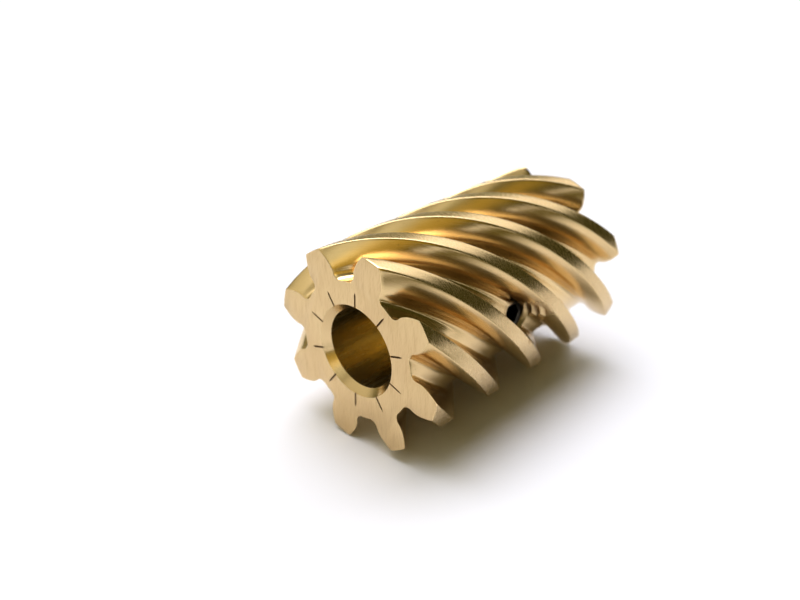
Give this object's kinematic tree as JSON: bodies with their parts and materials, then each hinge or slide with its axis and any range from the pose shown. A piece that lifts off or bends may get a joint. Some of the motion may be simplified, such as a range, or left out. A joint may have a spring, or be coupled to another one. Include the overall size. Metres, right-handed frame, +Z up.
{
  "type": "helical gear",
  "caption": "Small brass right-hand helical screw gear with a plain chamfered bore, a ticked front face and a cross-tapped grub screw in one tooth gap.",
  "frame": {"origin": "on the gear's axis, half way along its length, which is the centre of the bounding box", "axes": "+Y along the gear's axis from the ticked front face to the plain rear face, +X along the grub screw's hole, +Z up"},
  "size_m": [0.0162, 0.0238, 0.0162],
  "materials": {
    "brass": "machined brass: turned faces, bright milled flanks and a light turning grain on the tooth lands",
    "black_steel": "black oxide"
  },
  "bodies": {
    "gear": {"gear_body": "brass"},
    "screw": {"set_screw": "black_steel"}
  },
  "joints": [
    {"name": "set_screw_travel", "type": "slide", "parent": "gear", "child": "screw", "axis": [1, 0, 0], "range_m": [-0.00079, 0.00159]}
  ]
}
